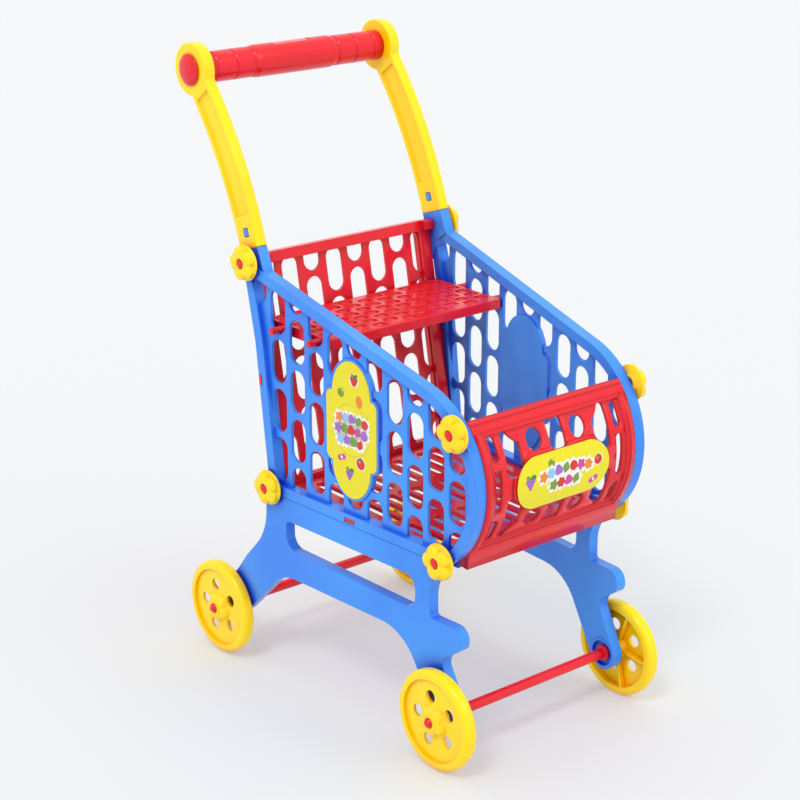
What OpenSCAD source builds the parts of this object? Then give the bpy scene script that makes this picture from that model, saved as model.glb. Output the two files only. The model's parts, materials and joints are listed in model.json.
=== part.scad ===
// Child's shopping cart: two slotted side panels on leg frames, with a rolled front panel, a back
// panel, a floor, a seat shelf, a handlebar on two arms, and four wheels pressed on two axles.
//
// Origin: middle of the cart's bounding box, on the floor. +Z is up, the front faces -Y and the
// handlebar is at +Y. Millimetres. Set node to one name in NODES to draw that piece alone.

/* [Overall] */
// Distance between the centre planes of the side panels, level with the origin
basket_w = 180.9; // [140:0.1:240]
// Angle each side leans in plan, so that the cart narrows to the front
taper = 3.28; // [0:0.01:4]
// Height of the basket's underside above the floor
basket_z = 162; // [135:0.5:200]
// Distance between the two axles
wheel_base = 268; // [220:1:330]
// How far the midpoint between the axles sits in front of the origin
base_shift = 6; // [0:0.5:20]

/* [Fits] */
// Gap between two pieces that stand face to face
face_gap = 0.3; // [0.1:0.05:0.6]
// Radial gap of an axle turning in its bearing
run_fit = 0.08; // [0.02:0.01:0.1]
// Radial gap of a pin, plug or axle end pushed into its hole
push_fit = 0.04; // [0.01:0.01:0.1]

/* [Side panels] */
// Thickness of the rim round each side panel
rim_t = 10; // [8:0.5:14]
// Thickness of the slotted web inside the rim
web_t = 2.5; // [2:0.1:4]
// Width of the rim band along the front, the top and the bottom
rim_w = 8.3; // [6:0.1:12]
// Width of the rim band along the rear edge
rear_rim_w = 9; // [6:0.1:12]
// Radius of the rolled front edge
front_r = 75; // [60:1:90]
// Position of the front edge's centre, along the cart
front_y = -94; // [-110:1:-80]
// Height of the front edge's centre above the basket's underside
front_rise = 59.5; // [50:0.5:70]
// Slope of the top edge, rising to the rear
top_slope = 15.2; // [8:0.1:20]
// Rear end of the bottom edge
rear_y = 63; // [50:1:90]
// Width of one slot
slot_w = 17.1; // [12:0.1:20]
// Length of one slot
slot_h = 35.5; // [24:0.1:42]
// Width of the bars between slots
slot_bar = 5; // [3:0.1:8]
// Centre of the rearmost full slot column
slot_y = 53.3; // [40:0.1:60]
// Height of the lowest full slot's centre above the basket's underside
slot_z = 30; // [24:0.1:40]

/* [Labels] */
// Centre of the side label, along the cart
label_y = -32.4; // [-60:0.1:0]
// Height of the side label's centre above the basket's underside
label_z = 76.5; // [60:0.1:90]
// Width of the side label's tall oval
label_w = 43; // [30:0.5:60]
// Height of the side label's tall oval
label_h = 110; // [80:0.5:120]
// Width and height of the block across the middle of the side label
label_block = 56.4; // [44:0.1:64]
// Border of the raised pad round a label
pad_border = 2; // [1:0.1:4]
// Thickness of the raised pad behind a side label
pad_t = 4.5; // [3:0.1:8]
// Thickness of a label
label_t = 0.4; // [0.2:0.1:1]
// Width of the front label
front_label_w = 93.5; // [60:0.5:110]
// Height of the front label
front_label_h = 40.5; // [25:0.5:45]

/* [Leg frames] */
// Thickness of a leg frame
leg_t = 9; // [7:0.1:12]
// Radius of the rounded foot round an axle
foot_r = 14; // [11:0.1:17]
// Gap between the leg frame and the basket's underside
leg_gap = 0.5; // [0.2:0.1:1]
// Height of the top bar of a leg frame
leg_bar = 19.2; // [14:0.1:24]
// Height of the long window in a leg frame
window_h = 27; // [18:0.1:32]
// Height of the bar below the window
sill_h = 21.5; // [16:0.1:26]
// Thickness of the ears that reach up inside the side panels
ear_t = 3.5; // [2.5:0.1:5]
// Width of the ears
ear_w = 13; // [10:0.5:15]

/* [Wheels and axles] */
// Outside diameter of a wheel
wheel_d = 80; // [60:1:96]
// Width of the wheel's rim
wheel_w = 11; // [8:0.1:14]
// Radial depth of the wheel's rim
tread_h = 7; // [5:0.1:9]
// Thickness of the wheel's disc
disc_t = 2.5; // [2:0.1:4]
// Height of the hub's cone above the wheel's middle plane
hub_h = 8.7; // [6:0.1:12]
// Radius of the hub's cone where it meets the disc
hub_r = 14; // [11:0.1:16]
// Diameter of the round holes in the disc
hole_d = 10; // [6:0.1:11]
// Radius of the circle the round holes lie on
hole_ring_r = 19; // [18:0.1:24]
// Radius of the rim's rounded shoulders
shoulder_r = 4; // [2:0.1:5]
// How far the disc stands outside the wheel's middle plane
disc_out = 0.5; // [-1:0.1:2]
// Number of round holes
hole_n = 5; // [3:1:8]
// Diameter of an axle
axle_d = 8.4; // [6:0.1:10]
// Diameter of the axle ends that the wheels are pressed on
seat_d = 6.8; // [5:0.1:8]
// Diameter of the collars beside the leg frames
collar_d = 13; // [11:0.1:16]
// Diameter of the snap tip outside each wheel
tip_d = 9; // [7.5:0.1:10]
// How far the front wheels' middle planes stand outside the side panels' planes at the origin
front_splay = 5.9; // [4:0.1:10]
// How far the rear wheels' middle planes stand outside the side panels' planes at the origin
rear_splay = 13.8; // [11:0.1:20]

/* [Front panel] */
// Depth of the front panel's borders
border_depth = 9; // [7:0.1:12]
// Depth of the recessed field between the borders
field_depth = 3; // [1.5:0.1:4]
// Thickness of the skin in the recessed field
skin_t = 2.5; // [2:0.1:4]
// Width of the recessed field
field_w = 136; // [110:1:140]
// Angle of the panel's top edge above level
front_top_a = 44.8; // [35:0.1:55]
// Angle of the panel's bottom edge below level
front_bottom_a = 53.5; // [45:0.1:58]

/* [Back panel] */
// Angle the back panel leans to the rear
back_lean = 10.7; // [5:0.1:14]
// Front face of the back panel at the basket's underside
back_y = 52.9; // [45:0.1:60]
// Height of the back panel along its slope
back_h = 191.5; // [160:0.5:210]
// Depth of the back panel's rim
back_t = 10; // [7:0.1:12]
// Gap between the back panel's end and the side panel's plane at the origin
back_inset = 2.25; // [2.2:0.05:6]

/* [Floor and shelf] */
// Thickness of the floor
floor_t = 3.5; // [2.5:0.1:5]
// Height of the floor's top face above the basket's underside
floor_z = 5; // [4:0.1:7]
// Height of the shelf's top face above the basket's underside
shelf_z = 140; // [120:0.5:150]
// Depth of the shelf's edge
shelf_edge = 8; // [6:0.5:12]
// Thickness of the shelf's top
shelf_t = 3; // [2:0.1:4]
// Front edge of the shelf, along the cart
shelf_y = -2.5; // [-20:0.5:10]
// Diameter of the pegs that carry the shelf
peg_d = 5.5; // [4:0.1:8]

/* [Arms and handlebar] */
// Foot of an arm, along the cart
arm_y = 85.3; // [80:0.1:100]
// Height of an arm's foot above the basket's underside
arm_z = 195.7; // [190:0.1:205]
// Lean of an arm at its foot
arm_lean = 18; // [10:0.5:25]
// Radius of an arm's curve
arm_r = 373; // [300:1:450]
// Angle an arm turns through from foot to handlebar
arm_sweep = 23; // [15:0.5:26]
// Width of an arm
arm_w = 24.5; // [20:0.1:30]
// Thickness of an arm
arm_t = 9.6; // [8:0.1:12]
// How far the arms' middle planes stand outside the side panels' planes at the origin
arm_out = 2.75; // [2.7:0.05:4]
// Radius of the round end that holds the handlebar
boss_r = 21; // [17:0.5:25]
// Diameter of the handlebar at its ends
grip_d = 24.7; // [20:0.1:30]
// Diameter of the handlebar's swollen middle
grip_mid_d = 26.2; // [24:0.1:33]
// Diameter of the handlebar's spigots
spigot_d = 18; // [14:0.1:20]
// Diameter of the red end caps
cap_d = 25.5; // [20:0.1:30]

/* [Knobs and pins] */
// Outside radius of a flower knob
knob_r = 14.3; // [11:0.1:16]
// Height of a flower knob
knob_h = 9; // [6:0.1:12]
// Number of petals
petal_n = 5; // [4:1:8]
// Diameter of a pin's shaft
pin_d = 4; // [3:0.1:5]
// Diameter of a pin's head
pin_head_d = 8.4; // [6:0.1:10]
// Length of a pin from the side panel's middle plane to its inner end
pin_in = 16; // [12:0.5:20]

/* [Hidden] */
$fn = 96;
blue = [0.16, 0.42, 0.93];
red = [0.86, 0.08, 0.14];
yellow = [0.98, 0.84, 0.05];
side_x = basket_w / 2;
front_axle_y = -wheel_base / 2 - base_shift;
rear_axle_y = wheel_base / 2 - base_shift;
axle_z = wheel_d / 2;
leg_top = basket_z - leg_gap;
window_top = leg_top - leg_bar;
window_bottom = window_top - window_h;
leg_under = window_bottom - sill_h;
pitch_y = slot_w + slot_bar;
pitch_z = slot_h + slot_bar;
front_out_r = front_r + 0.5;
arm_x = side_x + arm_out;
arm_foot = [arm_y, arm_z];
arm_centre = arm_foot + arm_r * [cos(arm_lean), -sin(arm_lean)];
arm_top = arm_centre + arm_r * [-cos(arm_lean + arm_sweep), sin(arm_lean + arm_sweep)];
hub_back = wheel_w / 2 + 0.5;
front_track = side_x + front_splay;
rear_track = side_x + rear_splay;
collar_t = 2.5;
recess_t = 3;
hub_top_r = 7.2;
tip_h = 2.3;
knob_foot = 2;
hole_turn = 22;
front_root = 9;
grooves = [9, 28.5, 46.2];
pins = [
    [-148.3, 106.3],
    [-134.3, 3],
    [84, 185.6],
    [61, 5]
];

// Shape helpers ---------------------------------------------------------------------------------

// Extrudes an outline drawn as (along the cart, up) to thickness t about the middle plane
module plate(t) {
    rotate([90, 0, 90])
        linear_extrude(t, center = true)
            children();
}

// Places a piece drawn about the right side panel's middle plane
module on_side() {
    translate([side_x, 0, basket_z])
        rotate([0, 0, -taper])
            children();
}

// A cylinder along X, from x0 to x1
module bar(r, x0, x1) {
    translate([x0, 0, 0])
        rotate([0, 90, 0])
            cylinder(r = r, h = x1 - x0);
}

// Puts a piece at an axle, a pin or any other point of the side view
module at(p) {
    translate([0, p[0], p[1]])
        children();
}

module slot(w, h) {
    square([w, h - w], center = true);
    for (s = [-1, 1])
        translate([0, s * (h - w) / 2])
            circle(d = w);
}

module round_block(w, h, r) {
    square([w, h - 2 * r], center = true);
    square([w - 2 * r, h], center = true);
    for (x = [-1, 1], y = [-1, 1])
        translate([x * (w / 2 - r), y * (h / 2 - r)])
            circle(r = r);
}

function unit(v) = v / norm(v);
function flat(c) = [c[0], c[1]];

// One corner [x, y, radius] of an outline as the points of its arc
function corner(before, c, after, n) =
    let (
        p = flat(c),
        a = unit(flat(before) - p),
        b = unit(flat(after) - p),
        half = acos(a * b) / 2,
        centre = p + unit(a + b) * c[2] / sin(half),
        start = p + a * c[2] / tan(half) - centre,
        turn = (cross(a, b) > 0 ? -1 : 1) * (180 - 2 * half)
    )
    c[2] == 0 ? [p] : [
        for (k = [0 : n])
            let (t = turn * k / n)
            centre + [start[0] * cos(t) - start[1] * sin(t), start[0] * sin(t) + start[1] * cos(t)]
    ];

// An outline from corners [x, y, radius]
function outline(c, n = 10) = [
    for (i = [0 : len(c) - 1])
        each corner(c[(i + len(c) - 1) % len(c)], c[i], c[(i + 1) % len(c)], n)
];

// Half of the clear width between the side panels at y, d inside their middle planes
function half_w(y, d) = side_x + y * tan(taper) - d / cos(taper);

// The space between the side panels, d inside their middle planes
module between_sides(d, y0, y1) {
    translate([0, 0, -50])
        linear_extrude(400)
            polygon([
                [-half_w(y0, d), y0],
                [half_w(y0, d), y0],
                [half_w(y1, d), y1],
                [-half_w(y1, d), y1]
            ]);
}

// Side panels -----------------------------------------------------------------------------------

function top_point(d) = [
    front_y - (front_r - d) * sin(top_slope),
    front_rise + (front_r - d) * cos(top_slope)
];
function top_at(y, d) = top_point(d)[1] + (y - top_point(d)[0]) * tan(top_slope);

// Outline of the side panel without its post, d inside the edge (rear_d along the rear)
module side_area(d, rear_d) {
    rear = rear_y - rear_d;
    r = front_r - d;
    low = 180 + asin((front_rise - d) / r);
    high = 90 + top_slope;
    polygon([
        for (k = [0 : 36])
            let (a = low + (high - low) * k / 36)
            [front_y + r * cos(a), front_rise + r * sin(a)],
        [rear + 28, top_at(rear + 28, d)],
        [rear + 21, 155],
        [rear + 14.5, 123.5],
        [rear + 0.12 * d, d]
    ]);
}

module side_slots() {
    for (c = [1 : 10], r = [-1 : 3])
        translate([slot_y - (c - 1) * pitch_y, slot_z + (r + (c % 2 == 0 ? 0.5 : 0)) * pitch_z])
            slot(slot_w, slot_h);
    translate([slot_y + pitch_y, slot_z + 3.5 * pitch_z])
        slot(slot_w, slot_h);
}

module side_label_shape(d) {
    cap = 28;
    w = label_w / 2 + d;
    h = label_h / 2 + d - cap;
    translate([label_y, label_z]) {
        polygon([
            for (s = [1, -1], k = [0 : 20])
                s * [w * cos(9 * k), h + cap * sin(9 * k)]
        ]);
        round_block(label_block + 2 * d, label_block + 2 * d, 6 + d);
    }
}

// The post that carries an arm, with its tenon and the snap tabs seen in the arm's windows
module post() {
    plate(arm_t - 0.4)
        polygon([
            [rear_y + 3.5, top_at(rear_y + 3.5, 0)],
            arm_foot - (arm_w / 2 - 0.9) * [cos(arm_lean), -sin(arm_lean)],
            arm_foot + (arm_w / 2 - 0.9) * [cos(arm_lean), -sin(arm_lean)],
            [rear_y + 21, 155],
            [rear_y + 14.5, 173]
        ]);
    at(arm_foot)
        rotate([-arm_lean, 0, 0]) {
            translate([0, 0, 12])
                cube([4, 12, 26], center = true);
            translate([0, 0, 12.5])
                cube([arm_t - 0.4, 5.4, 5.9], center = true);
        }
}

module side_panel() {
    color(blue)
    difference() {
        union() {
            on_side() {
                plate(rim_t)
                    difference() {
                        side_area(0, 0);
                        side_area(rim_w, rear_rim_w);
                    }
                plate(web_t)
                    difference() {
                        side_area(rim_w / 2, rear_rim_w / 2);
                        intersection() {
                            side_area(rim_w, rear_rim_w);
                            difference() {
                                side_slots();
                                side_label_shape(pad_border);
                            }
                        }
                    }
                plate(pad_t)
                    side_label_shape(pad_border);
            }
            translate([arm_x, 0, basket_z])
                post();
        }
        on_side() {
            for (p = pins)
                at(p)
                    bar(pin_d / 2 + push_fit, -20, 20);
            translate([0, -32, 3.25])
                cube([20, 11 + 2 * face_gap, 3 + 2 * face_gap], center = true);
            translate([0, 71.8, 92])
                cube([20, 3 + 2 * face_gap, 8 + 2 * face_gap], center = true);
        }
    }
}

// Leg frames ------------------------------------------------------------------------------------

// The rounded end of a foot round its axle, from angle a0 down to a1, as outline corners
function foot(y, a0, a1) = [
    for (k = [0 : 12])
        let (a = a0 + (a1 - a0) * k / 12)
        [y + foot_r * cos(a), axle_z + foot_r * sin(a), 0]
];

module leg_area() {
    polygon(outline([
        [-138, leg_top, 0],
        [rear_y + 1, leg_top, 0],
        [rear_y + 6.2, leg_top - 13, 8],
        [rear_y + 6.4, leg_top - 36.2, 50],
        each foot(rear_axle_y, 44, -128),
        [rear_axle_y - 31, axle_z + 6.5, 30],
        [rear_y - 13, leg_under, 38],
        [front_axle_y + 48.5, leg_under, 42],
        each foot(front_axle_y, -31, -211),
        [front_axle_y + 7.5, leg_under - 10, 9],
        [front_axle_y - 14.5, leg_under + 5, 8],
        [front_axle_y - 14, window_bottom - 1, 10],
        [-121, window_bottom - 1, 3],
        [-120.6, leg_top - 21, 30]
    ]));
}

module leg_window() {
    polygon(outline([
        [-105, window_bottom, 11],
        [rear_y - 18.5, window_bottom + 3, 11],
        [rear_y - 18.5, window_top, 4],
        [-105, window_top, 11]
    ]));
}

// An ear behind a bottom corner of the side panel, which takes that corner's pin
module ear(p, root, grow) {
    x = -rim_t / 2 - face_gap - ear_t / 2;
    at([p[0], 0])
        translate([x, 0, 0]) {
            translate([0, 0, 3.5])
                cube([ear_t + 2 * grow, ear_w + 2 * grow, 15 + 2 * grow], center = true);
            translate([0, root, -4.5])
                cube([ear_t + 2 * grow, ear_w + 2 * grow, 8], center = true);
            translate([ear_t / 2, root, -4 - leg_gap])
                cube([ear_t + 2 * grow, ear_w + 2 * grow, 7], center = true);
        }
}

module leg_frame() {
    front_face = front_track - hub_back - 0.5;
    rear_face = rear_track - hub_back - 0.5;
    front_in = half_w(front_axle_y, leg_t / 2) - 0.8;
    rear_in = rear_face - 8;
    color(blue)
    difference() {
        union() {
            difference() {
                union() {
                    on_side() {
                        translate([0, 0, -basket_z])
                            plate(leg_t)
                                difference() {
                                    leg_area();
                                    leg_window();
                                }
                        ear(pins[1], front_root, 0);
                        ear(pins[3], 0, 0);
                    }
                    at([front_axle_y, axle_z])
                        bar(9, front_in + 4, front_face);
                }
                at([rear_axle_y, axle_z])
                    rotate([0, 90, 0])
                        translate([0, 0, rear_face])
                            cylinder(r1 = wheel_d / 2 + 3, r2 = wheel_d / 2 + 83, h = 10);
            }
            at([front_axle_y, axle_z])
                bar(foot_r - 1.5, front_in, front_in + 6);
            at([rear_axle_y, axle_z])
                bar(foot_r - 1.5, rear_in, rear_face);
        }
        at([front_axle_y, axle_z]) {
            bar(axle_d / 2 + run_fit, front_in - 1, front_face + 1);
            bar(foot_r - 3.5, front_in - 5, front_in + recess_t);
        }
        at([rear_axle_y, axle_z]) {
            bar(axle_d / 2 + run_fit, rear_in - 1, rear_face + 1);
            bar(foot_r - 3.5, rear_in - 5, rear_in + recess_t);
        }
        on_side()
            for (p = [pins[1], pins[3]])
                at(p)
                    bar(pin_d / 2 + push_fit, -20, 20);
    }
}

// Arms and handlebar ----------------------------------------------------------------------------

// A stretch of the arm's curve, w wide, between two angles measured from its foot
module arm_band(w, a0, a1) {
    far = arm_r * 1.4;
    translate(arm_centre)
        intersection() {
            difference() {
                circle(r = arm_r + w / 2, $fn = 720);
                circle(r = arm_r - w / 2, $fn = 720);
            }
            polygon([
                [0, 0],
                far * [-cos(arm_lean + a1), sin(arm_lean + a1)],
                far * [-cos(arm_lean + (a0 + a1) / 2), sin(arm_lean + (a0 + a1) / 2)],
                far * [-cos(arm_lean + a0), sin(arm_lean + a0)]
            ]);
        }
}

module handle_arm() {
    color(yellow)
    translate([arm_x, 0, basket_z])
        difference() {
            plate(arm_t)
                difference() {
                    union() {
                        arm_band(arm_w, 0, arm_sweep);
                        translate(arm_top)
                            circle(r = boss_r);
                    }
                    translate(arm_top)
                        circle(d = spigot_d + 2 * push_fit);
                }
            for (s = [-1, 1])
                translate([s * arm_t / 2, 0, 0])
                    plate(5)
                        arm_band(arm_w - 7.3, 4, arm_sweep - 3.6);
            at(arm_foot)
                rotate([-arm_lean, 0, 0]) {
                    translate([0, 0, 12])
                        cube([4 + 2 * face_gap, 12 + 2 * face_gap, 26 + 2 * face_gap], center = true);
                    translate([0, 0, 12.5])
                        cube([arm_t + 2, 6, 6.5], center = true);
                }
        }
}

module handlebar() {
    end = arm_x - arm_t / 2;
    half = [
        [0, end + arm_t],
        [spigot_d / 2, end + arm_t],
        [spigot_d / 2, end],
        [grip_d / 2, end],
        for (g = grooves)
            each [
                [grip_d / 2, end - g + 1.1],
                [grip_d / 2 - 1, end - g],
                [grip_d / 2, end - g - 1.1]
            ],
        [grip_d / 2, end - 49],
        [grip_mid_d / 2, end - 51.5]
    ];
    color(red)
    translate([0, arm_top[0], basket_z + arm_top[1]])
        difference() {
            rotate([0, 90, 0])
                rotate_extrude()
                    polygon([
                        each half,
                        for (i = [len(half) - 1 : -1 : 0])
                            [half[i][0], -half[i][1]]
                    ]);
            for (s = [-1, 1])
                translate([s * (end + arm_t), 0, 0])
                    bar(6 + push_fit, -10, 10);
            translate([0, 0, grip_mid_d / 2 + 4.2])
                cube([36, 10, 10], center = true);
        }
}

module handlebar_cap() {
    face = arm_x + arm_t / 2;
    color(red)
    translate([face, arm_top[0], basket_z + arm_top[1]])
        rotate([0, 90, 0])
            rotate_extrude()
                polygon([
                    [0, -8],
                    [6, -8],
                    [6, 0],
                    for (k = [0 : 8])
                        [cap_d / 2 * cos(k * 11.25), 1 + 3.6 * sin(k * 11.25)]
                ]);
}

// Front panel -----------------------------------------------------------------------------------

// A ring about the rolled front's axis, between two angles above level
module roll(r0, r1, a0, a1, w) {
    mid = (a0 + a1) / 2;
    translate([0, front_y, basket_z + front_rise])
        plate(w)
            intersection() {
                difference() {
                    circle(r = r1, $fn = 180);
                    circle(r = r0, $fn = 180);
                }
                polygon([
                    [0, 0],
                    150 * [-cos(a1), sin(a1)],
                    150 * [-cos((a1 + mid) / 2), sin((a1 + mid) / 2)],
                    150 * [-cos(mid), sin(mid)],
                    150 * [-cos((a0 + mid) / 2), sin((a0 + mid) / 2)],
                    150 * [-cos(a0), sin(a0)]
                ]);
            }
}

// An opening through the rolled skin, drawn flat and turned up by angle a
module pierce(a) {
    translate([0, front_y, basket_z + front_rise])
        rotate([-a, 0, 0])
            translate([0, -front_r - 10, 0])
                rotate([-90, 0, 0])
                    linear_extrude(25)
                        children();
}

module front_pad() {
    rotate(90)
        slot(front_label_h + 2 * pad_border, front_label_w + 2 * pad_border);
}

// Tall openings that run from the field's edge to the label pad, round ones between them, and
// narrow ones beside the borders
module front_openings() {
    for (s = [-1, 1]) {
        pierce(s * 25)
            difference() {
                round_block(16, 24, 2.5);
                translate([0, -s * 33])
                    front_pad();
            }
        for (x = [-44.5, 44.5])
            pierce(s * 20.5)
                translate([x, 0])
                    difference() {
                        round_block(16, 35, 3);
                        translate([-x, -s * 26.5])
                            front_pad();
                    }
        for (x = [-22, 22])
            pierce(s * 25)
                translate([x, 0])
                    slot(15.5, 17.5);
    }
    for (x = [-61.5, 61.5], r = [[25.5, 20], [0, 33], [-26.5, 20]])
        pierce(r[0])
            translate([x, 0])
                slot(6.5, r[1]);
}

module front_panel() {
    out_r = front_out_r;
    color(red)
    difference() {
        intersection() {
            union() {
                roll(out_r - border_depth, out_r, -front_bottom_a, front_top_a, 400);
                translate([0, 0, basket_z])
                    plate(400)
                        polygon([[-152, 11.5], [-149.4, -2.3], [-138, -0.4], [-141, 9]]);
            }
            between_sides(rim_t / 2 + face_gap, -200, 0);
        }
        difference() {
            roll(out_r - field_depth, out_r + 5, -36, 34, field_w);
            pierce(0)
                front_pad();
        }
        roll(out_r - 0.9, out_r + 5, -38, 36.5, field_w + 6);
        roll(out_r - 30, out_r - field_depth - skin_t, -40, 38, field_w);
        roll(out_r - 0.8, out_r + 5, front_top_a - 4.4, front_top_a - 3.2, 400);
        front_openings();
        for (s = [0, 1])
            mirror([s, 0, 0])
                on_side() {
                    ear(pins[1], front_root, face_gap);
                    for (p = [pins[0], pins[1]])
                        at(p)
                            bar(pin_d / 2 + push_fit, -20, 0);
                }
    }
}

module front_label() {
    color(yellow)
    intersection() {
        roll(front_out_r, front_out_r + label_t, -30, 30, 120);
        pierce(0)
            rotate(90)
                slot(front_label_h, front_label_w);
    }
}

// Back panel, floor and shelf -------------------------------------------------------------------

module back_slots() {
    for (i = [0 : 7], r = [-1 : 4])
        translate([(i - 3.5) * 22.2, 24.6 + (r + (i % 2 == 0 ? 0 : 0.5)) * pitch_z])
            slot(16.2, slot_h);
}

// Places a piece drawn on the back panel's front face, with Y to the rear and Z up its slope
module on_back() {
    translate([0, back_y, basket_z])
        rotate([-back_lean, 0, 0])
            children();
}

module back_panel() {
    half = side_x - back_inset;
    tab = half_w(71.8, -rim_t / 2) - half + 4;
    color(red)
    difference() {
        union() {
            on_back() {
                translate([0, back_t / 2, back_h / 2 + 0.6])
                    rotate([90, 0, 0])
                        difference() {
                            linear_extrude(back_t, center = true)
                                round_block(2 * half, back_h, 6);
                            for (s = [-1, 1])
                                translate([0, 0, s * (back_t / 2 + 1.25)])
                                    linear_extrude(back_t, center = true)
                                        round_block(2 * half - 20, back_h - 17, 5);
                            linear_extrude(back_t * 2, center = true)
                                intersection() {
                                    rotate(180)
                                        translate([0, -back_h / 2])
                                            back_slots();
                                    round_block(2 * half - 22, back_h - 18, 5);
                                }
                        }
            }
            for (s = [-1, 1])
                translate([s * (half - 4 + tab / 2), 71.8, basket_z + 92])
                    cube([tab, 3, 8], center = true);
            for (s = [-1, 1])
                translate([s * (half - 4.5), pins[2][0] + 1.5, basket_z + pins[2][1]])
                    cube([9, 8, 7], center = true);
        }
        for (s = [0, 1])
            mirror([s, 0, 0])
                on_side() {
                    ear(pins[3], 0, face_gap);
                    for (p = [pins[2], pins[3]])
                        at(p)
                            bar(pin_d / 2 + push_fit, -20, 0);
                }
    }
}

module floor_panel() {
    color(red)
    difference() {
        union() {
            intersection() {
                translate([-200, -125.5, basket_z + floor_z - floor_t])
                    cube([400, 178, floor_t]);
                between_sides(rim_t / 2 + face_gap, -200, 100);
            }
            translate([0, -32, basket_z + 3.25])
                cube([2 * half_w(-32, -rim_t / 2), 11, 3], center = true);
        }
        translate([0, -36, basket_z])
            for (x = [-5 : 5], y = [-1 : 1])
                translate([x * 13.2, y * 55, -5])
                    linear_extrude(20)
                        slot(8, 47);
    }
}

module seat_shelf() {
    half = side_x - back_inset;
    back = back_y + (shelf_z - shelf_edge) * tan(back_lean) - 0.8;
    depth = back - shelf_y;
    color(red)
    translate([0, shelf_y, basket_z + shelf_z])
        difference() {
            union() {
                translate([-half, 0, -shelf_edge])
                    cube([2 * half, depth, shelf_edge]);
                for (y = [slot_y, slot_y - 2 * pitch_y])
                    translate([0, y - shelf_y, shelf_peg_z() - shelf_z])
                        bar(peg_d / 2, -half_w(y, -8.5), half_w(y, -8.5));
            }
            for (x = [-5 : 5], y = [0 : 5])
                translate([x * 15.8, 9 + (y + (x % 2 == 0 ? 0 : 0.5)) * (depth - 22) / 5, -1.3])
                    linear_extrude(5)
                        round_block(12, 8, 3);
            for (x = [-1 : 1])
                translate([x * (2 * half / 3 - 0.7) - half / 3 + 2, 3, -shelf_edge - 10])
                    cube([2 * half / 3 - 4, depth - 6, shelf_edge - shelf_t + 10]);
        }
}

// Height of the shelf's pegs: they lie in the bottoms of the slots, above the basket's underside
function shelf_peg_z() = slot_z + 3 * pitch_z - slot_h / 2 + peg_d / 2 + 0.05;

module side_label() {
    color(yellow)
    on_side()
        translate([pad_t / 2 + label_t / 2, 0, 0])
            plate(label_t)
                side_label_shape(0);
}

// Wheels and axles ------------------------------------------------------------------------------

// A wheel with its axis along X and its outer face to +X, about its own middle plane
module wheel() {
    r = wheel_d / 2;
    bead = r - tread_h;
    bore = seat_d / 2 + push_fit;
    color(yellow)
    difference() {
        union() {
            rotate([0, 90, 0])
                rotate_extrude() {
                    polygon([
                        [bead, -wheel_w / 2],
                        for (k = [-8 : 8])
                            let (turn = k == 0 ? 0 : k * 11.25)
                            [
                                r - shoulder_r + shoulder_r * cos(turn),
                                sign(k) * (wheel_w / 2 - shoulder_r) + shoulder_r * sin(turn)
                            ],
                        [bead, wheel_w / 2]
                    ]);
                    translate([bore, disc_out])
                        square([bead - bore + 1, disc_t]);
                    polygon([
                        [bore, -hub_back],
                        [8, -hub_back],
                        [9, disc_out + 1],
                        [hub_r, disc_out + disc_t],
                        [hub_top_r + 1.5, hub_h - 3],
                        [hub_top_r, hub_h],
                        [bore, hub_h]
                    ]);
                }
            for (i = [0 : hole_n - 1])
                rotate([i * 360 / hole_n + hole_turn, 0, 0])
                    translate([-wheel_w / 4 + disc_out, 0, (bead + 8) / 2])
                        cube([wheel_w / 2 - 1, 2, bead - 8 + 1], center = true);
        }
        for (i = [0 : hole_n - 1])
            rotate([(i + 0.5) * 360 / hole_n + hole_turn, 0, 0])
                translate([0, 0, hole_ring_r])
                    rotate([0, 90, 0])
                        cylinder(d = hole_d, h = wheel_w * 2, center = true);
        bar(bore, -20, 20);
    }
}

// An axle for wheels whose middle planes are at track, in legs whose bosses begin at boss
module axle(track, boss) {
    hub_in = track - hub_back;
    hub_out = track + hub_h;
    collar = boss + recess_t - face_gap;
    color(red)
    union() {
        bar(axle_d / 2, -hub_in, hub_in);
        bar(seat_d / 2, -hub_out - 0.5, hub_out + 0.5);
        for (s = [0, 1])
            mirror([s, 0, 0]) {
                bar(collar_d / 2, collar - collar_t, collar);
                translate([hub_out, 0, 0])
                    rotate([0, 90, 0])
                        cylinder(d1 = tip_d, d2 = tip_d * 0.6, h = tip_h);
            }
    }
}

module front_axle() {
    at([front_axle_y, axle_z])
        axle(front_track, half_w(front_axle_y, leg_t / 2) - 0.8);
}

module rear_axle() {
    at([rear_axle_y, axle_z])
        axle(rear_track, rear_track - hub_back - 8.5);
}

module front_wheel() {
    translate([front_track, front_axle_y, axle_z])
        wheel();
}

module rear_wheel() {
    translate([rear_track, rear_axle_y, axle_z])
        wheel();
}

// Knobs and pins --------------------------------------------------------------------------------

// The scalloped outline of a flower knob, as the outer arcs of its round petals
module flower(r) {
    petal = r * 0.42;
    ring = r - petal;
    step = 36 / petal_n;
    polygon([
        for (i = [0 : petal_n - 1], k = [-4 : 5])
            let (
                a = k * step,
                reach = ring * cos(a) + sqrt(petal * petal - pow(ring * sin(a), 2))
            )
            reach * [cos(i * 360 / petal_n + a), sin(i * 360 / petal_n + a)]
    ]);
}

module knob(p) {
    color(yellow)
    on_side()
        at(p)
            translate([rim_t / 2, 0, 0])
                difference() {
                    union() {
                        bar(knob_r * 0.5, 0, knob_foot + 1);
                        bar(knob_r, knob_foot, knob_foot + 3);
                        for (tier = [[knob_r * 0.94, knob_h - 1.5], [knob_r * 0.78, knob_h]])
                            translate([(knob_foot + 2 + tier[1]) / 2, 0, 0])
                                plate(tier[1] - knob_foot - 2)
                                    flower(tier[0]);
                    }
                    bar(pin_d / 2 + push_fit, -1, knob_h + 1);
                    bar(pin_head_d / 2 + push_fit, knob_h - 4, knob_h + 1);
                }
}

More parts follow.
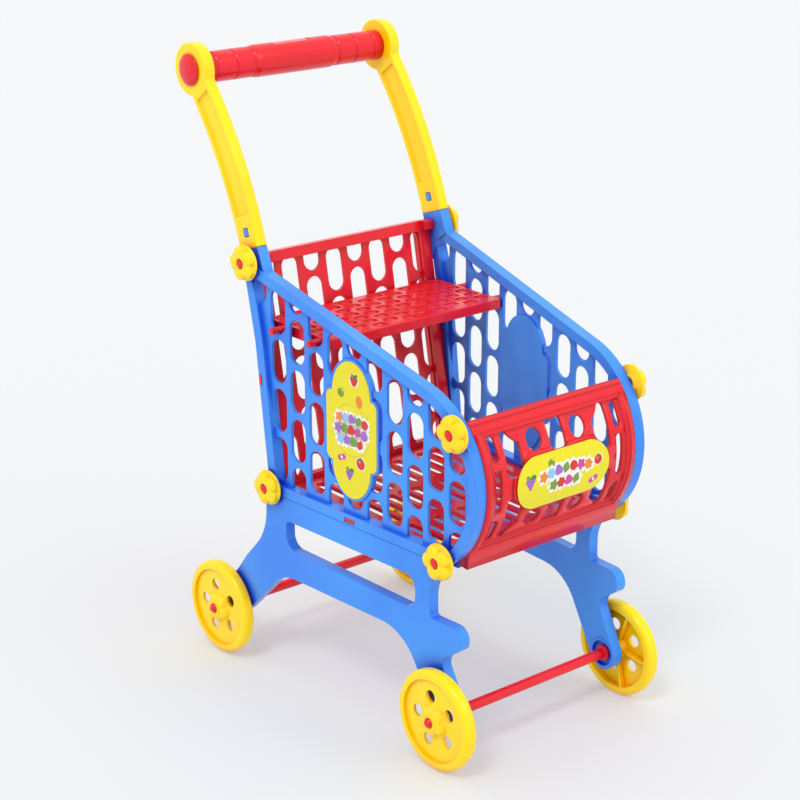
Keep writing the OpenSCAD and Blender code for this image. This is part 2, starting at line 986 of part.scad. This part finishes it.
module pin(p) {
    color(red)
    on_side()
        at(p) {
            bar(pin_d / 2, -pin_in, rim_t / 2 + knob_h - 3.5);
            translate([rim_t / 2 + knob_h, 0, 0]) {
                bar(pin_head_d / 2, -4, -1.2);
                rotate([0, 90, 0])
                    translate([0, 0, -1.2])
                        cylinder(d1 = pin_head_d, d2 = pin_head_d * 0.6, h = 1.2);
            }
        }
}

module left() {
    mirror([1, 0, 0])
        children();
}

// Drawing ---------------------------------------------------------------------------------------

left() side_panel();  // side_panel_left
side_panel();  // side_panel_right
left() leg_frame();  // leg_frame_left
leg_frame();  // leg_frame_right
left() handle_arm();  // handle_arm_left
handle_arm();  // handle_arm_right
handlebar();
left() handlebar_cap();  // handlebar_cap_left
handlebar_cap();  // handlebar_cap_right
front_panel();
back_panel();
floor_panel();
seat_shelf();
left() side_label();  // side_label_left
side_label();  // side_label_right
front_label();
front_axle();
rear_axle();
left() front_wheel();  // front_wheel_left
front_wheel();  // front_wheel_right
left() rear_wheel();  // rear_wheel_left
rear_wheel();  // rear_wheel_right
left() knob(pins[0]);  // knob_front_top_left
knob(pins[0]);  // knob_front_top_right
left() knob(pins[1]);  // knob_front_bottom_left
knob(pins[1]);  // knob_front_bottom_right
left() knob(pins[2]);  // knob_rear_top_left
knob(pins[2]);  // knob_rear_top_right
left() knob(pins[3]);  // knob_rear_bottom_left
knob(pins[3]);  // knob_rear_bottom_right
left() pin(pins[0]);  // pin_front_top_left
pin(pins[0]);  // pin_front_top_right
left() pin(pins[1]);  // pin_front_bottom_left
pin(pins[1]);  // pin_front_bottom_right
left() pin(pins[2]);  // pin_rear_top_left
pin(pins[2]);  // pin_rear_top_right
left() pin(pins[3]);  // pin_rear_bottom_left
pin(pins[3]);  // pin_rear_bottom_right
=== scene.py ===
import json
import math

import bmesh
import bpy
from mathutils import Euler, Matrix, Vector
from mathutils.bvhtree import BVHTree


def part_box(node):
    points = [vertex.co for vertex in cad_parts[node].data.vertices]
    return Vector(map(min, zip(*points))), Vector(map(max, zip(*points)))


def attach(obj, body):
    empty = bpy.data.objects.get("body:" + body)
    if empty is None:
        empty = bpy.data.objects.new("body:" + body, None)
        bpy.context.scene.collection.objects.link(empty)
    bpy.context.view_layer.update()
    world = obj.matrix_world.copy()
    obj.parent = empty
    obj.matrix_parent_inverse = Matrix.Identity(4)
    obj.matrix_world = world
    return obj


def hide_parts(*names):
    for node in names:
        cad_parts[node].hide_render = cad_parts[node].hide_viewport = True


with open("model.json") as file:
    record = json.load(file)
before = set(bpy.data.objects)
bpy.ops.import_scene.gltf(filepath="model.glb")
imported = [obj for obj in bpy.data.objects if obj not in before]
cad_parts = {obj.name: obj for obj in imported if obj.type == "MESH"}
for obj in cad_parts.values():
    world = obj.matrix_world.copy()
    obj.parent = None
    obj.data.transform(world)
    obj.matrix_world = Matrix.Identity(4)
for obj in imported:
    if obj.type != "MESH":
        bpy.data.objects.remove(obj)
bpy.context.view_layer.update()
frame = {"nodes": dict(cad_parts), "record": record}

MM = 0.001
NODES = frame["nodes"]
BODY_OF = {node: body for body, names in frame["record"]["behaviour"]["bodies"].items() for node in names}
SLOT_OF = {part["node"]: part["material_slot"] for part in frame["record"]["subparts"]}
SIDES = (("left", -1), ("right", 1))  # each side's name and its direction along X
CORNERS = ("front_top", "front_bottom", "rear_top", "rear_bottom")
PAINTED_SHADE_REACH = 14 * MM  # how far the painted shade in corners spreads: the ambient occlusion distance


# Shader maths ------------------------------------------------------------------------------------


class Value:
    """A number socket that arithmetic can be written on."""

    def __init__(self, finish, socket):
        self.finish = finish
        self.socket = socket

    def maths(self, operation, first, second=0.0):
        node = self.finish.node("ShaderNodeMath", {"operation": operation}, {0: first, 1: second})
        return Value(self.finish, node.outputs[0])

    def __add__(self, other):
        return self.maths("ADD", self, other)

    def __mul__(self, other):
        return self.maths("MULTIPLY", self, other)

    __radd__ = __add__
    __rmul__ = __mul__

    def between(self, low, high):
        """0 below low, 1 above high, smooth between."""
        settings = {"interpolation_type": "SMOOTHSTEP"}
        node = self.finish.node("ShaderNodeMapRange", settings, {0: self, 1: low, 2: high})
        return Value(self.finish, node.outputs[0])


class Finish:
    """A material under construction."""

    def __init__(self, name, **constants):
        self.material = bpy.data.materials.new(name)
        self.material.use_nodes = True
        self.shader = self.material.node_tree.nodes["Principled BSDF"]
        for socket, value in constants.items():
            self.shader.inputs[socket.replace("_", " ")].default_value = value

    def node(self, kind, settings=None, sockets=None):
        node = self.material.node_tree.nodes.new(kind)
        for key, value in (settings or {}).items():
            setattr(node, key, value)
        for key, value in (sockets or {}).items():
            self.feed(node.inputs[key], value)
        return node

    def feed(self, socket, value):
        if isinstance(value, Value):
            value = value.socket
        if isinstance(value, bpy.types.NodeSocket):
            self.material.node_tree.links.new(value, socket)
        else:
            socket.default_value = value

    def place(self):
        return self.node("ShaderNodeTexCoord").outputs["Object"]

    def noise(self, scale, detail=2.0, roughness=0.5):
        sockets = {"Vector": self.place(), "Scale": scale, "Detail": detail, "Roughness": roughness}
        return Value(self, self.node("ShaderNodeTexNoise", None, sockets).outputs["Fac"])

    def blend(self, factor, first, second):
        node = self.node("ShaderNodeMix", {"data_type": "RGBA"}, {0: factor, 6: first, 7: second})
        return node.outputs[2]

    def bump(self, height, strength, distance, edge=None):
        """Small relief, on edges that look rounded to the radius edge where it is given."""
        sockets = {"Height": height, "Strength": strength, "Distance": distance}
        if edge:
            sockets["Normal"] = self.node("ShaderNodeBevel", {"samples": 6}, {"Radius": edge}).outputs[0]
        self.feed(self.shader.inputs["Normal"], self.node("ShaderNodeBump", None, sockets).outputs[0])


def linear(red, green, blue):
    """A colour from 0-255 screen values."""
    screen = (red, green, blue)
    return tuple(((c / 255 + 0.055) / 1.055) ** 2.4 if c > 10 else c / 3294.6 for c in screen) + (1.0,)


def moulded_plastic(name, colour, deep, edge):
    """Gloss injection-moulded plastic with faint flow marks and uneven polish, and painted shade: the
    deeper colour is blended into corners where ambient occlusion finds surfaces close by.
    """
    finish = Finish(name, Specular_IOR_Level=0.32, Coat_Weight=0.22, Coat_Roughness=0.06)
    flow = finish.noise(9.0, 3.0).between(0.32, 0.72)
    # Painted shade: ambient occlusion within the reach blends the deeper colour into corners, creases and
    # enclosed faces such as the basket's inside.
    corner_occlusion = finish.node("ShaderNodeAmbientOcclusion", {"samples": 4}, {"Distance": PAINTED_SHADE_REACH})
    unshaded_share = Value(finish, corner_occlusion.outputs["AO"]).between(0.42, 0.97)
    surface = finish.blend(flow * 0.3 + 0.7, deep, colour)
    finish.feed(finish.shader.inputs["Base Color"], finish.blend(unshaded_share, deep, surface))
    finish.feed(finish.shader.inputs["Roughness"], finish.noise(60.0) * 0.10 + 0.19)
    finish.bump(finish.noise(26.0, 1.0) + finish.noise(420.0) * 0.04, 0.10, 0.0012, edge)
    return finish.material


def printed_sticker(name, colour, deep):
    """A laminated paper label: flat ink with a fine dot screen under a clear gloss film."""
    finish = Finish(name, Specular_IOR_Level=0.35, Coat_Weight=0.25, Coat_Roughness=0.08)
    dots = finish.noise(1500.0, 1.0).between(0.35, 0.65)
    finish.feed(finish.shader.inputs["Base Color"], finish.blend(dots, deep, colour))
    finish.feed(finish.shader.inputs["Roughness"], finish.noise(90.0) * 0.08 + 0.28)
    finish.bump(finish.noise(35.0, 1.0), 0.05, 0.0006)
    return finish.material


def ink(name, red, green, blue):
    return printed_sticker(name, linear(red, green, blue), linear(red * 0.9, green * 0.9, blue * 0.9))


# Each second colour tints the random flow marks and is also the painted shade that ambient occlusion
# blends into corners.
BLUE, BLUE_FLOW_AND_SHADE = linear(64, 152, 247), linear(10, 60, 214)
RED, RED_FLOW_AND_SHADE = linear(232, 24, 40), linear(196, 4, 18)
YELLOW, YELLOW_FLOW_AND_SHADE = linear(254, 225, 2), linear(252, 184, 0)
PLASTIC = {
    "blue_plastic": moulded_plastic("blue_gloss_plastic", BLUE, BLUE_FLOW_AND_SHADE, 0.9 * MM),
    "red_plastic": moulded_plastic("red_gloss_plastic", RED, RED_FLOW_AND_SHADE, 0.6 * MM),
    "yellow_plastic": moulded_plastic("yellow_gloss_plastic", YELLOW, YELLOW_FLOW_AND_SHADE, 0.6 * MM),
    "label": printed_sticker("label_yellow_print", linear(234, 222, 14), linear(228, 214, 10)),
}
INKS = {
    "white": ink("ink_white", 250, 250, 250),
    "red": ink("ink_red", 222, 44, 34),
    "orange": ink("ink_orange", 244, 140, 32),
    "green": ink("ink_green", 120, 160, 48),
    "leaf": ink("ink_leaf", 70, 130, 50),
    "purple": ink("ink_purple", 168, 108, 200),
    "pink": ink("ink_pink", 214, 70, 160),
    "sky": ink("ink_sky", 150, 200, 240),
    "olive": ink("ink_olive", 222, 214, 40),
    "yellow": ink("ink_yellow", 244, 230, 40),
}


# Making pieces -----------------------------------------------------------------------------------


def finish_piece(piece, body, slot, *replaced):
    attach(piece, body)
    if replaced:
        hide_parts(*replaced)
    return piece


def piece_from(bm, name, *materials):
    mesh = bpy.data.meshes.new(name)
    bm.to_mesh(mesh)
    bm.free()
    for material in materials:
        mesh.materials.append(material)
    piece = bpy.data.objects.new(name, mesh)
    bpy.context.scene.collection.objects.link(piece)
    return piece


def clean_copy(node):
    """The node's mesh with its doubles merged and its flat faces made whole."""
    bm = bmesh.new()
    bm.from_mesh(NODES[node].data)
    bmesh.ops.remove_doubles(bm, verts=bm.verts, dist=0.03 * MM)
    bmesh.ops.dissolve_limit(bm, angle_limit=math.radians(1.5), verts=bm.verts, edges=bm.edges)
    for face in bm.faces:
        face.material_index = 0
    return bm


def settled(piece):
    """The piece's modifiers made part of its mesh."""
    graph = bpy.context.evaluated_depsgraph_get()
    mesh = bpy.data.meshes.new_from_object(piece.evaluated_get(graph))
    piece.modifiers.clear()
    piece.data = mesh
    return mesh


def round_edges(piece, node, radius, segments, angle, clamp):
    """Bevel the piece, bring its stray points back to the node's surface, and shade it smooth."""
    bevel = piece.modifiers.new("rounded_edges", "BEVEL")
    bevel.width = radius
    bevel.segments = segments
    bevel.limit_method = "ANGLE"
    bevel.angle_limit = math.radians(angle)
    bevel.use_clamp_overlap = clamp
    mesh = settled(piece)
    skin = BVHTree.FromObject(NODES[node], bpy.context.evaluated_depsgraph_get())
    stray = 0.45 * radius
    bm = bmesh.new()
    bm.from_mesh(mesh)
    for vert in bm.verts:
        spot, _, _, gap = skin.find_nearest(vert.co)
        if gap > stray:
            vert.co = spot
    bmesh.ops.dissolve_degenerate(bm, edges=bm.edges, dist=0.01 * MM)
    bmesh.ops.connect_verts_concave(bm, faces=[face for face in bm.faces if len(face.verts) > 4])
    for face in bm.faces:
        face.smooth = True
    bm.to_mesh(mesh)
    bm.free()
    piece.modifiers.new("even_normals", "WEIGHTED_NORMAL").weight = 60


def moulding(node, radius, segments=3, angle=32, clamp=False):
    """A CAD node with the rounded edges a mould leaves."""
    slot = SLOT_OF[node]
    piece = piece_from(clean_copy(node), "moulded_" + node, PLASTIC[slot])
    round_edges(piece, node, radius, segments, angle, clamp)
    return finish_piece(piece, BODY_OF[node], slot, node)


def as_packed(node):
    """A CAD node kept as it is, with its plastic."""
    NODES[node].data.materials.clear()
    NODES[node].data.materials.append(PLASTIC[SLOT_OF[node]])


def lofted(name, rings, *materials):
    """A closed ring of rings, each a list of points going round the same way."""
    bm = bmesh.new()
    loops = [[bm.verts.new(point) for point in ring] for ring in rings]
    for here, there in zip(loops, loops[1:] + loops[:1]):
        for k in range(len(here)):
            after = (k + 1) % len(here)
            bm.faces.new((here[k], here[after], there[after], there[k])).smooth = True
    bmesh.ops.recalc_face_normals(bm, faces=bm.faces)
    return piece_from(bm, name, *materials)


PETALS = 5
RING_POINTS = 120


class Stand:
    """A round piece's axis: the middle of its inner end, and its directions out, back and up."""

    def __init__(self, node, sign):
        self.out = Vector((0, 0, 0))
        for face in NODES[node].data.polygons:
            if face.normal.x * sign > 0.9:
                self.out += face.normal * face.area
        self.out.normalize()
        self.back = (Vector((0, 1, 0)) - self.out * self.out.y).normalized()
        low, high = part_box(node)
        heights = [vert.co.dot(self.out) for vert in NODES[node].data.vertices]
        middle = (low + high) / 2
        self.foot = middle + self.out * (min(heights) - middle.dot(self.out))
        self.reach = (high.z - low.z) / 2
        self.tall = max(heights) - min(heights)

    def ring(self, radius, height, turn=0.0):
        """A ring whose radius and height follow how deep in a valley between petals each point is."""
        points = []
        for k in range(RING_POINTS):
            angle = 2 * math.pi * k / RING_POINTS
            valley = 1 - abs(math.cos(PETALS / 2 * (angle - turn))) ** 0.8
            r, h = (value(valley) if callable(value) else value for value in (radius, height))
            spread = self.back * math.cos(angle) + Vector((0, 0, math.sin(angle)))
            points.append(self.foot + spread * r + self.out * h)
        return points


def flower_knob(node, sign):
    """A round back plate with a thick domed five-petal flower on it, bored for its pin."""
    stand = Stand(node, sign)
    reach, tall = stand.reach, stand.tall
    bore, stem = 4.3 * MM, 7.2 * MM
    plate, root, crown = 2 * MM, 4.2 * MM, 7.0 * MM

    def flower(valley):
        return reach * (0.965 - 0.21 * valley)

    rings = [stand.ring(bore, 0), stand.ring(stem, 0), stand.ring(stem, plate)]
    for inset, height in ((0.5, 0), (0, 0.5), (0, 1.5), (0.6, 2.1)):
        rings.append(stand.ring(reach - inset * MM, plate + height * MM))
    for height in (root, (root + crown) / 2, crown):
        rings.append(stand.ring(flower, height))
    dome_steps = 12
    for step in range(1, dome_steps + 1):
        inward = step / dome_steps
        rise = math.sin(math.pi / 2 * min(1, inward * 1.7)) ** 0.7
        top = crown + (tall - crown) * rise - 0.7 * MM * max(0, inward - 0.6)
        rings.append(
            stand.ring(
                lambda valley: (1 - inward) * flower(valley) + inward * bore,
                lambda valley: top - 1.3 * MM * valley * (1 - inward),
            )
        )
    piece = lofted("domed_" + node, rings, PLASTIC["yellow_plastic"])
    return finish_piece(piece, BODY_OF[node], "yellow_plastic", node)


HUB_TURN = math.radians(58)  # from the wheel's back to a petal's tip
HUB_BORE = 5.6  # millimetres, as in the profile
HUB_PROFILE = (  # radius at a petal's tip, radius in a valley, height over the wheel's inner end
    (14.0, 13.0, 7.9),
    (13.9, 12.0, 9.1),
    (13.2, 10.4, 10.5),
    (12.4, 9.4, 11.9),
    (11.4, 8.8, 12.9),
    (10.2, 8.2, 13.6),
    (8.8, 7.6, 14.0),
    (7.0, 6.8, 14.15),
    (HUB_BORE, HUB_BORE, 14.15),
)


def hub_petals(node, sign):
    """Five rounded petals round a wheel's hub, between its holes."""
    stand = Stand(node, sign)
    lowest = HUB_PROFILE[0][2]
    rings = [stand.ring(HUB_BORE * MM, lowest * MM)]
    for peak, dip, height in HUB_PROFILE:
        rings.append(
            stand.ring(
                lambda valley: (peak + (dip - peak) * valley) * MM,
                height * MM,
                HUB_TURN,
            )
        )
    piece = lofted("hub_petals_" + node, rings, PLASTIC["yellow_plastic"])
    return finish_piece(piece, BODY_OF[node], "yellow_plastic")


for side, _ in SIDES:
    moulding("side_panel_" + side, 0.6 * MM, clamp=True)
    moulding("handle_arm_" + side, 1.2 * MM)
    moulding("leg_frame_" + side, 1.5 * MM, clamp=True)
    moulding("front_wheel_" + side, 0.6 * MM, clamp=True)
    moulding("rear_wheel_" + side, 0.6 * MM, clamp=True)
moulding("front_panel", 0.6 * MM, clamp=True)
moulding("floor_panel", 0.5 * MM)
moulding("seat_shelf", 0.5 * MM)
moulding("handlebar", 0.4 * MM, 2, 20)
as_packed("back_panel")
for side, sign in SIDES:
    moulding("handlebar_cap_" + side, 0.4 * MM, 2)
    for corner in CORNERS:
        flower_knob("knob_%s_%s" % (corner, side), sign)
        moulding("pin_%s_%s" % (corner, side), 0.5 * MM, 2)
    for wheel in ("front_wheel_", "rear_wheel_"):
        hub_petals(wheel + side, sign)
for axle in ("front_axle", "rear_axle"):
    moulding(axle, 0.5 * MM, 2)
for label in ("side_label_left", "side_label_right", "front_label"):
    as_packed(label)


# Pillows moulded in the shelf's cells ------------------------------------------------------------


def pillow_tree():
    """Low pillows in rows, every other column half a pitch further back."""
    tree = bpy.data.node_groups.new("shelf_pillows", "GeometryNodeTree")
    face = tree.interface
    face.new_socket("Geometry", in_out="INPUT", socket_type="NodeSocketGeometry")
    for name in ("Columns", "Rows"):
        face.new_socket(name, in_out="INPUT", socket_type="NodeSocketInt")
    for name in ("Column pitch", "Row pitch"):
        face.new_socket(name, in_out="INPUT", socket_type="NodeSocketFloat")
    for name in ("Pillow size", "Middle"):
        face.new_socket(name, in_out="INPUT", socket_type="NodeSocketVector")
    face.new_socket("Plastic", in_out="INPUT", socket_type="NodeSocketMaterial")
    face.new_socket("Geometry", in_out="OUTPUT", socket_type="NodeSocketGeometry")
    given = tree.nodes.new("NodeGroupInput").outputs

    def node(kind, settings=None, sockets=None):
        made = tree.nodes.new(kind)
        for key, value in (settings or {}).items():
            setattr(made, key, value)
        for key, value in (sockets or {}).items():
            if isinstance(value, bpy.types.NodeSocket):
                tree.links.new(value, made.inputs[key])
            else:
                made.inputs[key].default_value = value
        return made.outputs

    def maths(operation, first, second):
        return node("ShaderNodeMath", {"operation": operation}, {0: first, 1: second})[0]

    total = maths("MULTIPLY", given["Columns"], given["Rows"])
    index = node("GeometryNodeInputIndex")[0]
    column = maths("FLOOR", maths("DIVIDE", index, given["Rows"]), 0.0)
    row = maths("SUBTRACT", index, maths("MULTIPLY", column, given["Rows"]))
    half = maths("MULTIPLY", maths("SUBTRACT", given["Columns"], 1.0), 0.5)
    from_middle = maths("SUBTRACT", column, half)
    stagger = maths("MULTIPLY", maths("FLOORED_MODULO", column, 2.0), -0.5)
    stagger = maths("ADD", stagger, 0.5)
    across = maths("MULTIPLY", from_middle, given["Column pitch"])
    back = maths("MULTIPLY", maths("ADD", row, stagger), given["Row pitch"])
    spot = node("ShaderNodeCombineXYZ", None, {0: across, 1: back})[0]
    place = node("ShaderNodeVectorMath", {"operation": "ADD"}, {0: spot, 1: given["Middle"]})[0]
    points = node("GeometryNodePoints", None, {"Count": total, "Position": place})[0]
    pillow = node("GeometryNodeMeshUVSphere", None, {"Segments": 12, "Rings": 6, "Radius": 1.0})[0]
    shade = node("GeometryNodeSetShadeSmooth", None, {"Geometry": pillow})[0]
    sockets = {"Points": points, "Instance": shade, "Scale": given["Pillow size"]}
    rows = node("GeometryNodeInstanceOnPoints", None, sockets)[0]
    real = node("GeometryNodeRealizeInstances", None, {"Geometry": rows})[0]
    out = node("GeometryNodeSetMaterial", None, {"Geometry": real, "Material": given["Plastic"]})[0]
    end = tree.nodes.new("NodeGroupOutput")
    tree.links.new(out, end.inputs[0])
    return tree


CELL_COLUMNS, CELL_ROWS = 11, 6
CELL_PITCH = 15.8 * MM
CELL_DEPTH = 1.3 * MM
CELL_MARGIN = 22 * MM  # the shelf's depth less the run from a column's first cell to its last
FIRST_CELL = 9 * MM  # from the shelf's front edge to the middle of its foremost cells


def shelf_pillows():
    low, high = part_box("seat_shelf")
    run = high.y - low.y - CELL_MARGIN
    piece = piece_from(bmesh.new(), "shelf_pillows", PLASTIC["red_plastic"])
    rows = piece.modifiers.new("rows", "NODES")
    rows.node_group = pillow_tree()
    values = {
        "Columns": CELL_COLUMNS,
        "Rows": CELL_ROWS,
        "Column pitch": CELL_PITCH,
        "Row pitch": run / (CELL_ROWS - 1),
        "Pillow size": (4.6 * MM, 2.9 * MM, 1.0 * MM),
        "Middle": (0, low.y + FIRST_CELL, high.z - CELL_DEPTH),
        "Plastic": PLASTIC["red_plastic"],
    }
    for item in rows.node_group.interface.items_tree:
        if item.name in values:
            rows[item.identifier] = values[item.name]
    settled(piece)
    finish_piece(piece, "base", "red_plastic")


shelf_pillows()


# Printed pictures on the labels -------------------------------------------------------------------


OUTLINES = {  # lobes round the edge, how far they swell, width over height
    "round": (0, 0.0, 1.0),
    "oval": (0, 0.0, 0.72),
    "leaf": (2, 0.22, 0.9),
    "heart": (3, 0.12, 1.0),
    "star": (5, 0.20, 1.0),
    "flower": (6, 0.14, 1.0),
    "bow": (2, 0.42, 1.0),
    "bar": (4, 0.10, 0.8),
}
OUTLINE_POINTS = 40


def turned(point, angle):
    c, s = math.cos(angle), math.sin(angle)
    return Vector((point.x * c - point.y * s, point.x * s + point.y * c))


def outline_of(kind, size, turn):
    """The points round a shape whose edge swells into lobes."""
    lobes, swell, stretch = OUTLINES[kind]
    points = []
    for k in range(OUTLINE_POINTS):
        angle = 2 * math.pi * k / OUTLINE_POINTS
        reach = size * (1 + swell * math.cos(lobes * angle))
        points.append(turned(Vector((stretch * reach * math.cos(angle), reach * math.sin(angle))), turn))
    return points


def motif(shapes, u, v, k=1.0):
    """Shapes (kind, u, v, size, turn, ink, layer) scaled by k and moved by (u, v); millimetres."""
    moved = []
    for kind, du, dv, size, turn, tint, layer in shapes:
        moved.append((kind, u + du * k, v + dv * k, size * k, turn, tint, layer))
    return moved


BERRY = [
    ("round", 0, 0, 5.2, 0, "white", 1),
    ("heart", 0, -0.2, 4.2, -1.57, "red", 2),
    ("leaf", 1.6, 3.2, 2.0, 0.5, "leaf", 3),
    ("leaf", -1.4, 3.3, 1.8, 2.5, "green", 3),
]
APPLE = [("round", 0, 0, 3.6, 0, "green", 1), ("leaf", 2.6, 3.2, 1.8, 0.7, "olive", 2)]
ORANGE = [("oval", 0, 0, 5.0, 0.2, "orange", 1), ("round", 0.6, 1.2, 2.4, 0, "orange", 2)]
TOMATO = [
    ("round", 0, 0, 5.4, 0, "white", 1),
    ("round", 0, 0, 4.7, 0, "red", 2),
    ("oval", -1.2, 1.3, 1.4, 0.6, "orange", 3),
    ("star", 0.4, 3.4, 1.5, 0.3, "leaf", 3),
]
BOW = [("bow", 0, 0, 3.4, 0.35, "pink", 1), ("round", 0, 0, 1.3, 0, "white", 2)]
GRAPES = [("leaf", 2.4, 4.4, 2.6, 0.6, "leaf", 1), ("leaf", -1.6, 4.8, 2.2, 2.2, "green", 1)] + [
    ("round", (column - (2 - row) / 2) * 2.7, 2.4 - row * 2.3, 1.6, 0, "purple", 2)
    for row in range(3)
    for column in range(3 - row)
]


def party_row(count, pitch, sag, size, inks):
    """A bent row of mixed party shapes on a white cloud."""
    kinds = ("star", "flower", "heart", "bar", "round")
    shapes = []
    for k in range(count):
        u = (k - (count - 1) / 2) * pitch
        v = -sag * (u / pitch) ** 2
        shapes.append(("flower", u, v, size * 1.5, 0.4 * k, "white", 3))
        shapes.append((kinds[k % 5], u, v, size, 0.9 * k, inks[k % len(inks)], 4))
    return shapes


PARTY_INKS = ("orange", "sky", "purple", "green", "red", "pink")
SIDE_ART = (
    motif(BERRY, 3.5, 41)
    + motif(APPLE, -11.5, 28)
    + motif(ORANGE, 9, 25)
    + motif(APPLE, 15, 11.5, 0.8)
    + [("round", 0, 0, 21, 0, "olive", 1), ("round", 0, 0, 20, 0, "yellow", 2)]
    + motif(party_row(5, 7.2, 0.3, 3.7, PARTY_INKS), 1, 9.5)
    + motif(party_row(5, 7.4, 0.3, 4.0, PARTY_INKS[2:]), 0, 0.5)
    + motif(party_row(4, 7.4, 0.3, 3.8, PARTY_INKS[1:]), -1, -8.5)
    + motif(BOW, -11, -24)
    + motif(TOMATO, 10.5, -24)
    + motif(GRAPES, -2.3, -37)
)
FRONT_ART = (
    motif(GRAPES, -34, 0, 1.1)
    + motif(APPLE, -12.5, 12, 0.9)
    + motif(party_row(7, 7.6, 0.3, 3.9, PARTY_INKS), 2, 5.5)
    + motif(party_row(4, 7.6, 0.2, 3.9, PARTY_INKS[3:]), 1, -5)
    + motif(TOMATO, 35, 4, 0.85)
    + motif(BOW, 31, -11)
)
LAYER = 0.035 * MM  # the thickness of one layer of ink


def printed(name, art, place):
    """Thin ink shapes laid on a label; place(u, v, height) gives a point on its surface."""
    names = list(INKS)
    bm = bmesh.new()
    for kind, u, v, size, turn, tint, layer in art:
        rim = [p + Vector((u, v)) for p in outline_of(kind, size, turn)]
        top = [bm.verts.new(place(p.x * MM, p.y * MM, layer * LAYER)) for p in rim]
        foot = [bm.verts.new(place(p.x * MM, p.y * MM, -LAYER)) for p in rim]
        middle = bm.verts.new(place(u * MM, v * MM, layer * LAYER))
        under = bm.verts.new(place(u * MM, v * MM, -LAYER))
        for k in range(len(rim)):
            after = (k + 1) % len(rim)
            faces = (
                (top[k], top[after], middle),
                (foot[after], foot[k], under),
                (foot[k], foot[after], top[after], top[k]),
            )
            for face in faces:
                bm.faces.new(face).material_index = names.index(tint)
    bmesh.ops.recalc_face_normals(bm, faces=bm.faces)
    piece = piece_from(bm, name, *INKS.values())
    return finish_piece(piece, "base", "label")


def flat_label(node, side):
    """Placing function for a label on a flat side panel, with u running to the front."""
    face = max(NODES[node].data.polygons, key=lambda f: f.normal.x * side * f.area)
    low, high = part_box(node)
    normal = face.normal.copy()
    along = Vector((0, 0, 1)).cross(normal) * -side
    verts = [v.co for v in NODES[node].data.vertices]
    middle = Vector(((low.x + high.x) / 2, (low.y + high.y) / 2, (low.z + high.z) / 2))
    surface = max((v - middle).dot(normal) for v in verts)
    return lambda u, v, height: middle + along * u + Vector((0, 0, v)) + normal * (surface + height)


ROLL_AXIS = Vector((0, -94, 221.5)) * MM  # the middle of the front panel's roll


def rolled_label(u, v, height):
    """Placing function for the label on the rolled front panel, with v measured round the roll."""
    radius = ROLL_AXIS.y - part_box("front_label")[0].y
    angle = v / radius
    reach = radius + height
    return ROLL_AXIS + Vector((u, -reach * math.cos(angle), reach * math.sin(angle)))


for side, sign in SIDES:
    printed("label_art_" + side, SIDE_ART, flat_label("side_label_" + side, sign))
printed("label_art_front", FRONT_ART, rolled_label)


# Studio ------------------------------------------------------------------------------------------


LAMPS = (  # name, place it shines from, spread in degrees, power
    ("key_left", (-2.2, -1.0, 3.2), 16, 0.80),
    ("front_fill", (0.8, -2.6, 2.2), 40, 0.50),
    ("top_soft", (0.4, 0.8, 3.2), 60, 0.10),
)


def studio():
    """A pale floor under soft, bright, even light, seen from the front left and above."""
    scene = bpy.context.scene
    scene.view_settings.view_transform = "Standard"
    camera = bpy.data.objects.new("camera", bpy.data.cameras.new("camera"))
    camera.location = (-0.981, -1.1593, 0.7651)
    camera.rotation_euler = Euler((math.radians(70.73), 0, math.radians(-39.77)))
    camera.data.lens = 90.98
    camera.data.sensor_width = 36
    scene.collection.objects.link(camera)
    scene.camera = camera

    bm = bmesh.new()
    bmesh.ops.create_grid(bm, x_segments=1, y_segments=1, size=30)
    glow = (0.242, 0.246, 0.251, 1)
    sheet = Finish(
        "studio_paper",
        Roughness=0.9,
        Specular_IOR_Level=0.1,
        Emission_Color=glow,
        Emission_Strength=1.0,
    )
    pale, paler = (0.515, 0.525, 0.535, 1), (0.518, 0.528, 0.538, 1)
    sheet.feed(sheet.shader.inputs["Base Color"], sheet.blend(sheet.noise(3.0), pale, paler))
    floor = piece_from(bm, "studio_floor", sheet.material)
    floor.location = (0, 0, -0.0002)

    world = bpy.data.worlds.new("studio_world")
    world.use_nodes = True
    world.node_tree.nodes["Background"].inputs[0].default_value = (1, 1, 1, 1)
    world.node_tree.nodes["Background"].inputs[1].default_value = 0.97
    scene.world = world

    for name, place, spread, power in LAMPS:
        lamp = bpy.data.lights.new(name, "SUN")
        lamp.angle = math.radians(spread)
        lamp.energy = power
        light = bpy.data.objects.new(name, lamp)
        light.location = place
        light.rotation_euler = (-Vector(place)).to_track_quat("-Z", "Y").to_euler()
        scene.collection.objects.link(light)


studio()
